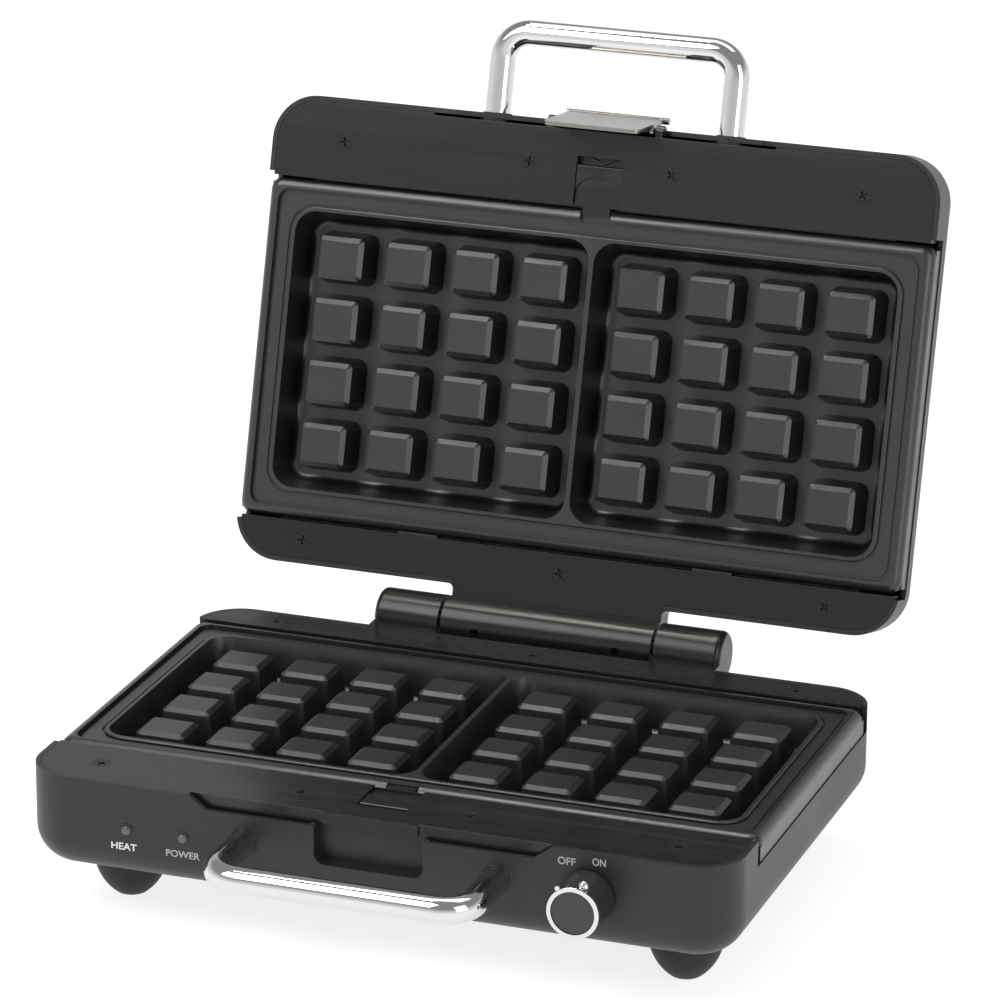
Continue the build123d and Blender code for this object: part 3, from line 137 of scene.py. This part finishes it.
class Surface:
    """A node material with a principled shader and helpers for its detail."""

    def __init__(self, name, colour, roughness, metallic=0.0, specular=0.5):
        self.material = bpy.data.materials.new(name)
        self.material.use_nodes = True
        self.tree = self.material.node_tree
        self.shader = self.tree.nodes["Principled BSDF"]
        set_inputs(self.shader, {"Base Color": (*colour, 1), "Roughness": roughness,
                                 "Metallic": metallic, "Specular IOR Level": specular})
        self.normal = None

    def node(self, kind, **values):
        """A new node with some of its inputs set."""
        made = self.tree.nodes.new(kind)
        set_inputs(made, values)
        return made

    def link(self, source, target):
        """Joins an output to an input."""
        self.tree.links.new(source, target)

    def noise(self, scale, detail=2.0, stretch=(1, 1, 1)):
        """Noise over the object's own coordinates, which may be stretched."""
        coordinates = self.node("ShaderNodeTexCoord")
        mapping = self.node("ShaderNodeMapping", Scale=stretch)
        self.link(coordinates.outputs["Object"], mapping.inputs["Vector"])
        made = self.node("ShaderNodeTexNoise", Scale=scale, Detail=detail)
        self.link(mapping.outputs["Vector"], made.inputs["Vector"])
        return made.outputs["Fac"]

    def bump(self, height, distance, strength):
        """Adds relief on top of what the surface already has."""
        made = self.node("ShaderNodeBump", Strength=strength, Distance=distance)
        self.link(height, made.inputs["Height"])
        if self.normal is not None:
            self.link(self.normal, made.inputs["Normal"])
        self.normal = made.outputs["Normal"]
        self.link(self.normal, self.shader.inputs["Normal"])

    def colour_from(self, value, dark, light):
        """Lets a value from 0 to 1 take the colour from dark to light."""
        made = self.node("ShaderNodeMix")
        made.data_type = "RGBA"
        self.link(value, made.inputs["Factor"])
        made.inputs["A"].default_value = (*dark, 1)
        made.inputs["B"].default_value = (*light, 1)
        self.link(made.outputs["Result"], self.shader.inputs["Base Color"])

    def rough_from(self, value, smooth, rough, over=USUAL_NOISE):
        """Lets a value that goes over a range take the surface from smooth to rough."""
        low, high = over
        roughness = map_range(self.tree, value, {"From Min": low, "From Max": high,
                                                 "To Min": smooth, "To Max": rough})
        self.link(roughness, self.shader.inputs["Roughness"])


def satin_black():
    """The body's satin black finish, very finely textured."""
    made = Surface("satin_black", (0.013, 0.0129, 0.0122), 0.42, specular=0.45)
    broad = made.noise(14.0, detail=3.0)
    made.colour_from(broad, dark=(0.011, 0.0109, 0.0102), light=(0.016, 0.0158, 0.0149))
    made.rough_from(broad, 0.38, 0.46)
    made.bump(made.noise(5200.0), 0.03 * MM, 0.35)
    return made.material


def brushed_black(name, specular):
    """The rails: dark and brushed along their length; a lower specular gives a dimmer copy, used
    as painted shade.
    """
    made = Surface(name, (0.008, 0.008, 0.0086), 0.28, specular=specular)
    made.shader.inputs["Anisotropic"].default_value = 0.4
    streaks = made.noise(1400.0, detail=4.0, stretch=(0.012, 1, 1))
    broad = made.noise(220.0, detail=3.0, stretch=(0.02, 1, 1))
    made.colour_from(streaks, dark=(0.004, 0.004, 0.0044), light=(0.012, 0.012, 0.013))
    made.rough_from(broad, 0.22, 0.34)
    made.bump(streaks, 0.02 * MM, 0.6)
    return made.material


def plate_coating():
    """The plates' dark non-stick coating, with a faint speckle."""
    made = Surface("plate_coating", (0.011, 0.011, 0.0135), 0.34, specular=0.7)
    made.colour_from(made.noise(2600.0), dark=(0.006, 0.006, 0.0078), light=(0.017, 0.017, 0.0205))
    made.rough_from(made.noise(40.0, detail=3.0), 0.29, 0.38)
    made.bump(made.noise(1800.0, detail=3.0), 0.04 * MM, 0.4)
    made.bump(made.noise(160.0), 0.1 * MM, 0.25)
    return made.material


def latch_satin():
    """The latch's satin metal, with fine streaks along its width."""
    made = Surface("latch_satin", (0.27, 0.26, 0.25), 0.26, metallic=1.0)
    streaks = made.noise(2400.0, detail=3.0, stretch=(0.01, 1, 1))
    made.colour_from(streaks, dark=(0.24, 0.228, 0.214), light=(0.29, 0.282, 0.272))
    made.rough_from(made.noise(40.0), 0.24, 0.3)
    made.bump(streaks, 0.004 * MM, 0.3)
    return made.material


def chrome():
    """Polished chrome with a trace of handling marks."""
    made = Surface("chrome", (0.64, 0.645, 0.655), 0.07, metallic=1.0)
    made.rough_from(made.noise(70.0, detail=4.0), 0.05, 0.12, over=(0.35, 0.75))
    made.bump(made.noise(260.0), 0.02 * MM, 0.15)
    return made.material


def knob_black():
    """The knob's smoother black plastic."""
    made = Surface("knob_black", (0.026, 0.026, 0.0268), 0.18)
    made.rough_from(made.noise(90.0, detail=3.0), 0.13, 0.22)
    made.bump(made.noise(2200.0), 0.01 * MM, 0.3)
    return made.material


def black_rubber():
    """Matt rubber with a faint grain."""
    made = Surface("black_rubber", (0.016, 0.016, 0.016), 0.6, specular=0.4)
    blotch = made.noise(50.0, detail=3.0)
    made.colour_from(blotch, dark=(0.013, 0.013, 0.013), light=(0.021, 0.021, 0.0205))
    made.bump(made.noise(3000.0), 0.04 * MM, 0.5)
    return made.material


def black_screw():
    """Blackened screws with small paler scuffs."""
    made = Surface("black_screw", (0.01, 0.011, 0.009), 0.36, metallic=0.3, specular=0.35)
    scuff = made.noise(900.0, detail=4.0)
    made.colour_from(scuff, dark=(0.004, 0.0045, 0.0036), light=(0.03, 0.032, 0.026))
    made.rough_from(scuff, 0.28, 0.48)
    return made.material


def plain_metal(name, colour, roughness):
    """Plain sheet or bar metal with soft blotches."""
    made = Surface(name, colour, roughness, metallic=1.0)
    blotch = made.noise(120.0, detail=4.0)
    made.colour_from(blotch, dark=shaded(colour, 0.8), light=colour)
    made.rough_from(blotch, roughness - 0.06, roughness + 0.08)
    made.bump(made.noise(1500.0), 0.02 * MM, 0.3)
    return made.material


def moulded(name, colour, roughness):
    """Plain moulded material with a fine grain."""
    made = Surface(name, colour, roughness)
    made.colour_from(made.noise(60.0, detail=3.0), dark=shaded(colour, 0.85), light=colour)
    made.bump(made.noise(3500.0), 0.02 * MM, 0.4)
    return made.material


def lens(name, colour):
    """A small unlit lamp lens with a clear coat, unevenly dark behind it."""
    made = Surface(name, colour, 0.12)
    set_inputs(made.shader, {"Coat Weight": 0.6, "Coat Roughness": 0.05})
    made.colour_from(made.noise(400.0), dark=shaded(colour, 0.5), light=colour)
    return made.material


def clear_glass():
    """Clear lamp glass."""
    made = Surface("lamp_glass", (0.95, 0.9, 0.85), 0.04)
    made.shader.inputs["Transmission Weight"].default_value = 0.9
    made.rough_from(made.noise(300.0), 0.02, 0.08)
    return made.material


def print_ink(name, colour):
    """Pale print on the front wall, slightly uneven."""
    made = Surface(name, colour, 0.5)
    made.colour_from(made.noise(1500.0), dark=shaded(colour, 0.75), light=colour)
    return made.material


def dress(material, *names):
    """Gives CAD nodes a material."""
    for name in names:
        data = nodes[name].data
        for index in range(len(data.materials)):
            data.materials[index] = material
        if not data.materials:
            data.materials.append(material)


def soften(width, *names):
    """Rounds the sharp edges of CAD nodes with modifiers, leaving their meshes alone."""
    for name in names:
        piece = nodes[name]
        for face in piece.data.polygons:
            face.use_smooth = True
        weld = piece.modifiers.new("weld", "WELD")
        weld.merge_threshold = WELD_DISTANCE
        bevel = piece.modifiers.new("bevel", "BEVEL")
        bevel.width = width
        bevel.segments = EDGE_STEPS
        bevel.limit_method = "ANGLE"
        bevel.angle_limit = SHARP_ANGLE
        bevel.use_clamp_overlap = True
        piece.modifiers.new("normals", "WEIGHTED_NORMAL").keep_sharp = True


def add_piece(name, mesh, material, body, place=None):
    """A new piece made from a mesh, riding on a body."""
    piece = bpy.data.objects.new(name, mesh)
    scene.collection.objects.link(piece)
    if place is not None:
        piece.matrix_world = place
    mesh.materials.append(material)
    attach(piece, body)
    return piece


def flexing_spring(name, body, material):
    """A leaf spring as a copy of its CAD node, riding on a body, in place of the CAD node, which
    is hidden.
    """
    node = nodes[name]
    mesh = node.data.copy()
    mesh.materials.clear()
    piece = add_piece(name + "_flexing", mesh, material, body, node.matrix_world.copy())
    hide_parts(name)
    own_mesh(piece)


def extent(values):
    """The middle and the length of the stretch that some numbers span."""
    return (max(values) + min(values)) / 2, max(values) - min(values)


def lettering(text, centre, height, width, material, body):
    """A word printed on the front wall, as a thin mesh facing the front."""
    name = "print_" + text.lower()
    curve = bpy.data.curves.new(name, "FONT")
    curve.body = text
    curve.align_x = "CENTER"
    curve.align_y = "CENTER"
    curve.extrude = LETTER_HALF_DEPTH
    curve.offset = PRINT_BOLDNESS
    holder = bpy.data.objects.new(name + "_text", curve)
    scene.collection.objects.link(holder)
    bpy.context.view_layer.update()
    mesh = bpy.data.meshes.new_from_object(holder.evaluated_get(
        bpy.context.evaluated_depsgraph_get()))
    bpy.data.objects.remove(holder)
    middle_x, length_x = extent([vertex.co.x for vertex in mesh.vertices])
    middle_y, length_y = extent([vertex.co.y for vertex in mesh.vertices])
    size = Matrix.Diagonal((width / length_x, height / length_y, PRINT_THICKNESS, 1))
    mesh.transform(size @ Matrix.Translation((-middle_x, -middle_y, 0)))
    mesh.transform(Matrix.Translation(centre) @ Matrix.Rotation(math.pi / 2, 4, "X"))
    mesh.name = name
    add_piece(name, mesh, material, body)


def area_light(name, place, aim, size, power, colour=(1, 1, 1)):
    """A soft rectangular lamp."""
    data = bpy.data.lights.new(name, "AREA")
    data.shape = "RECTANGLE"
    data.size, data.size_y = size
    data.energy = power
    data.color = colour
    lamp = bpy.data.objects.new(name, data)
    scene.collection.objects.link(lamp)
    lamp.location = place
    lamp.rotation_mode = "QUATERNION"
    lamp.rotation_quaternion = (Vector(aim) - Vector(place)).to_track_quat("-Z", "Y")


def seen_directly(tree):
    """1 for rays from the camera, in mirrors and through glass, otherwise 0."""
    path = tree.nodes.new("ShaderNodeLightPath")
    seen = path.outputs["Is Camera Ray"]
    for kind in ("Is Glossy Ray", "Is Transmission Ray"):
        either = tree.nodes.new("ShaderNodeMath")
        either.operation = "MAXIMUM"
        tree.links.new(seen, either.inputs[0])
        tree.links.new(path.outputs[kind], either.inputs[1])
        seen = either.outputs["Value"]
    return seen


def make_world():
    """A plain pale surround: white to the eye, and in mirrors white below a greyer ceiling."""
    world = bpy.data.worlds.new("world")
    scene.world = world
    world.use_nodes = True
    tree = world.node_tree
    background = tree.nodes["Background"]
    strength = map_range(tree, seen_directly(tree), {"To Min": WORLD_LIGHT, "To Max": 1.0})
    tree.links.new(strength, background.inputs["Strength"])

    towards = tree.nodes.new("ShaderNodeTexCoord")
    parts = tree.nodes.new("ShaderNodeSeparateXYZ")
    tree.links.new(towards.outputs["Generated"], parts.inputs["Vector"])
    ceiling = map_range(tree, parts.outputs["Z"], {
        "From Min": CEILING_START, "From Max": CEILING_FULL,
        "To Min": 1.0, "To Max": CEILING_GREY})
    mirrored = tree.nodes.new("ShaderNodeLightPath")
    colour = tree.nodes.new("ShaderNodeMix")
    colour.data_type = "RGBA"
    colour.inputs["A"].default_value = (1, 1, 1, 1)
    tree.links.new(mirrored.outputs["Is Glossy Ray"], colour.inputs["Factor"])
    tree.links.new(ceiling, colour.inputs["B"])
    tree.links.new(colour.outputs["Result"], background.inputs["Color"])


def make_floor():
    """A large pale floor that keeps a soft shadow and is white to the camera."""
    mesh = bpy.data.meshes.new("floor")
    corners = [(-FLOOR_HALF, -FLOOR_HALF, 0), (FLOOR_HALF, -FLOOR_HALF, 0),
               (FLOOR_HALF, FLOOR_HALF, 0), (-FLOOR_HALF, FLOOR_HALF, 0)]
    mesh.from_pydata(corners, [], [(0, 1, 2, 3)])
    floor = bpy.data.objects.new("floor", mesh)
    scene.collection.objects.link(floor)
    material = bpy.data.materials.new("floor")
    material.use_nodes = True
    tree = material.node_tree
    shader = tree.nodes["Principled BSDF"]
    set_inputs(shader, {"Roughness": 0.9, "Specular IOR Level": 0.0,
                        "Emission Color": (1, 1, 1, 1)})
    seen = seen_directly(tree)
    shade = map_range(tree, seen, {"To Min": FLOOR_BOUNCE, "To Max": FLOOR_SHADE})
    tree.links.new(shade, shader.inputs["Base Color"])
    glow = map_range(tree, seen, {"To Min": 0.0, "To Max": FLOOR_GLOW})
    tree.links.new(glow, shader.inputs["Emission Strength"])
    mesh.materials.append(material)
    floor.location.z = -FLOOR_DROP


make_camera()
make_world()
make_floor()

satin = satin_black()
brushed = brushed_black("brushed_black", 0.5)
# The rear rails take a copy of the rails' finish with weaker specular, which dims their
# reflections: painted shade, not a different finish.
brushed_painted_shade_rear = brushed_black("brushed_black_painted_shade_rear", 0.36)
coating = plate_coating()
bright = chrome()
knob_plastic = knob_black()
rubber = black_rubber()
screw = black_screw()
steel = plain_metal("plain_steel", (0.5, 0.5, 0.51), 0.32)
sheet = plain_metal("tray_sheet", (0.62, 0.62, 0.63), 0.25)
sheath = plain_metal("heater_sheath", (0.25, 0.235, 0.22), 0.45)
ceramic = moulded("white_ceramic", (0.72, 0.7, 0.65), 0.5)
black_plastic = moulded("black_plastic", (0.015, 0.015, 0.016), 0.4)
board = moulded("board_brown", (0.26, 0.15, 0.07), 0.55)
white_print = print_ink("print_white", (0.8, 0.8, 0.78))
grey_print = print_ink("print_grey", (0.42, 0.42, 0.41))
latch_metal = latch_satin()
dark_metal = plain_metal("dark_spring_steel", (0.05, 0.05, 0.052), 0.4)

dress(satin, "base_shell", "lid_shell")
dress(brushed, "base_front_rail", "lid_front_rail", "lower_release_tab", "upper_release_tab")
# The rear rails wear the dimmer copy of the rail finish, which is painted shade.
dress(brushed_painted_shade_rear, "base_rear_rail", "lid_rear_rail")
dress(coating, "lower_plate", "upper_plate")
dress(bright, "lower_handle", "upper_handle", "knob_ring", "knob_bead")
dress(latch_metal, "latch")
dress(dark_metal, "latch_spring")
dress(knob_plastic, "knob_body", "knob_face")
dress(rubber, "foot_front_right", "foot_rear_right", "foot_front_left", "foot_rear_left")
dress(screw, "base_rail_screws", "lid_rail_screws", "barrel_screws", "foot_screws", "latch_pin")
dress(steel, "switch_nut", "knob_shaft", "hinge_pins", "lower_handle_bolts",
      "upper_handle_bolts", "lower_fuse_clip", "upper_fuse_clip", "lower_tray_screws",
      "upper_tray_screws")
dress(sheet, "lower_reflector_tray", "upper_reflector_tray", "lower_heater_cradles",
      "upper_heater_cradles", "lower_thermal_fuse", "upper_thermal_fuse")
dress(sheath, "lower_heater", "upper_heater")
dress(ceramic, "rotary_switch", "terminal_block", "lower_thermostat")
dress(black_plastic, "cord_gland", "gland_nut", "lower_handle_bushes", "upper_handle_bushes",
      "lamp_bezels")
dress(board, "lamp_board")
dress(lens("heat_lens", (0.1, 0.1, 0.1)), "heat_lamp_lens")
dress(lens("power_lens", (0.1, 0.1, 0.1)), "power_lamp_lens")
dress(clear_glass(), "neon_lamps")

soften(0.35 * MM, "base_shell", "lid_shell")
soften(0.3 * MM, "base_front_rail", "base_rear_rail", "lid_front_rail", "lid_rear_rail")
soften(0.4 * MM, "lower_plate", "upper_plate")
soften(0.25 * MM, "lower_release_tab", "upper_release_tab", "latch", "knob_ring", "knob_body",
       "knob_face", "lower_handle_bushes", "upper_handle_bushes", "cord_gland",
       "base_rail_screws", "lid_rail_screws")

flexing_spring("lower_release_spring", "base", dark_metal)
flexing_spring("upper_release_spring", "lid", dark_metal)

# The words: place across the front wall, drop below the rail tops, height and width, in mm
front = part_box("base_shell")[0].y
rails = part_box("base_shell")[1].z
for text, across, drop, tall, wide, ink in (
        ("HEAT", -94.3, 23.8, 2.7, 10.0, white_print),
        ("POWER", -71.3, 23.6, 2.7, 13.2, grey_print),
        ("OFF", 74.5, 4.2, 2.9, 6.6, grey_print),
        ("ON", 86.5, 3.0, 2.9, 5.0, grey_print)):
    place = Vector((across * MM, front, rails - drop * MM))
    lettering(text, place, tall * MM, wide * MM, ink, "base")

# The lamps: where each is, what it points at, its size and its power
middle = (0, 0, 0.12)
lid_top = (0, 0.13, 0.24)
area_light("key", (-0.9, -1.1, 1.7), middle, (1.2, 1.2), 28)
area_light("fill", (1.6, -0.9, 0.9), middle, (1.0, 1.4), 10)
area_light("top", (0.1, 0.6, 1.9), middle, (1.6, 0.9), 6)
area_light("rim", (-0.35, 0.3, 1.4), lid_top, (0.7, 0.12), 6, colour=(1.0, 0.95, 0.86))
